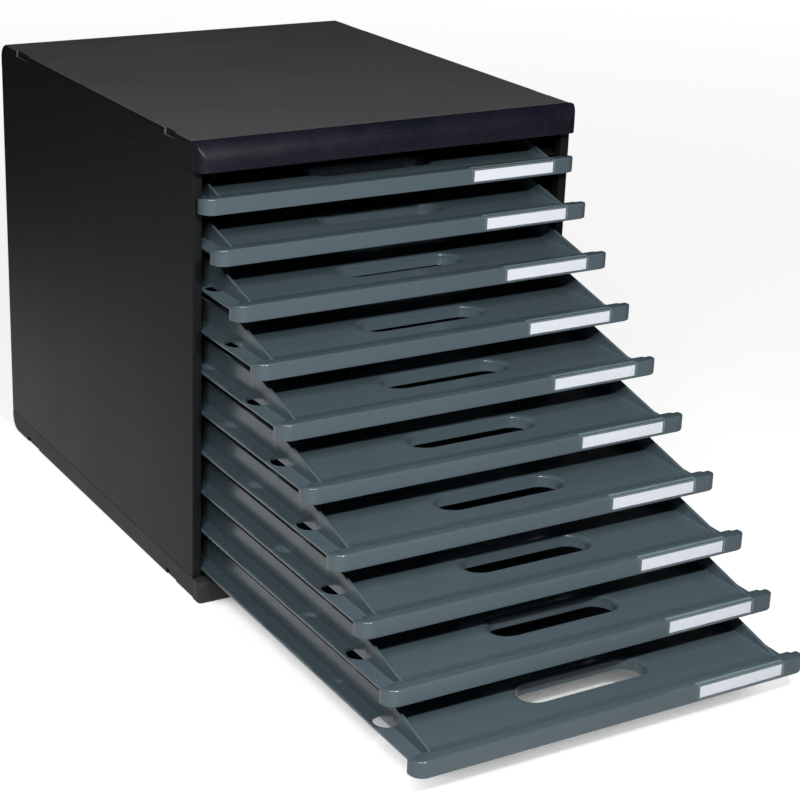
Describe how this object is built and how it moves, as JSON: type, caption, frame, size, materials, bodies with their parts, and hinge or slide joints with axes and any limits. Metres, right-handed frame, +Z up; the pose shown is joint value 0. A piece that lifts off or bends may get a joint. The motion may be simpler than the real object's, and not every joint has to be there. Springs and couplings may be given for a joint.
{
  "type": "desktop file drawer",
  "caption": "Desktop drawer cabinet: a moulded casing with a stack of shallow sliding paper trays, each with a finger slot and a windowed label on its front rail.",
  "frame": {"origin": "centre of the casing's flat underside", "axes": "+Z up, -Y the front where the drawers open, +X to the right seen from the front"},
  "size_m": [0.2862, 0.6272, 0.3143],
  "materials": {
    "casing_plastic": "fine-textured black moulded plastic",
    "tray_plastic": "satin slate-grey moulded plastic",
    "label_card": "plain white card",
    "label_window": "clear glossy plastic"
  },
  "bodies": {
    "casing": {"top_cover": "casing_plastic", "top_front_trim": "casing_plastic", "base_plate": "casing_plastic", "base_front_trim": "casing_plastic", "left_side_panel": "casing_plastic", "right_side_panel": "casing_plastic", "rear_panel": "casing_plastic"},
    "drawer_01": {"tray_01": "tray_plastic", "label_card_01": "label_card", "label_window_01": "label_window"},
    "drawer_02": {"tray_02": "tray_plastic", "label_card_02": "label_card", "label_window_02": "label_window"},
    "drawer_03": {"tray_03": "tray_plastic", "label_card_03": "label_card", "label_window_03": "label_window"},
    "drawer_04": {"tray_04": "tray_plastic", "label_card_04": "label_card", "label_window_04": "label_window"},
    "drawer_05": {"tray_05": "tray_plastic", "label_card_05": "label_card", "label_window_05": "label_window"},
    "drawer_06": {"tray_06": "tray_plastic", "label_card_06": "label_card", "label_window_06": "label_window"},
    "drawer_07": {"tray_07": "tray_plastic", "label_card_07": "label_card", "label_window_07": "label_window"},
    "drawer_08": {"tray_08": "tray_plastic", "label_card_08": "label_card", "label_window_08": "label_window"},
    "drawer_09": {"tray_09": "tray_plastic", "label_card_09": "label_card", "label_window_09": "label_window"},
    "drawer_10": {"tray_10": "tray_plastic", "label_card_10": "label_card", "label_window_10": "label_window"}
  },
  "joints": [
    {"name": "drawer_01_slide", "type": "slide", "parent": "casing", "child": "drawer_01", "axis": [0, -1, 0], "range_m": [-0.0032, 0.2763]},
    {"name": "drawer_02_slide", "type": "slide", "parent": "casing", "child": "drawer_02", "axis": [0, -1, 0], "range_m": [-0.0213, 0.2582]},
    {"name": "drawer_03_slide", "type": "slide", "parent": "casing", "child": "drawer_03", "axis": [0, -1, 0], "range_m": [-0.0484, 0.2311]},
    {"name": "drawer_04_slide", "type": "slide", "parent": "casing", "child": "drawer_04", "axis": [0, -1, 0], "range_m": [-0.0781, 0.2014]},
    {"name": "drawer_05_slide", "type": "slide", "parent": "casing", "child": "drawer_05", "axis": [0, -1, 0], "range_m": [-0.1093, 0.1702]},
    {"name": "drawer_06_slide", "type": "slide", "parent": "casing", "child": "drawer_06", "axis": [0, -1, 0], "range_m": [-0.1427, 0.1368]},
    {"name": "drawer_07_slide", "type": "slide", "parent": "casing", "child": "drawer_07", "axis": [0, -1, 0], "range_m": [-0.1783, 0.1012]},
    {"name": "drawer_08_slide", "type": "slide", "parent": "casing", "child": "drawer_08", "axis": [0, -1, 0], "range_m": [-0.2112, 0.0683]},
    {"name": "drawer_09_slide", "type": "slide", "parent": "casing", "child": "drawer_09", "axis": [0, -1, 0], "range_m": [-0.2428, 0.0367]},
    {"name": "drawer_10_slide", "type": "slide", "parent": "casing", "child": "drawer_10", "axis": [0, -1, 0], "range_m": [-0.2757, 0.0038]}
  ]
}
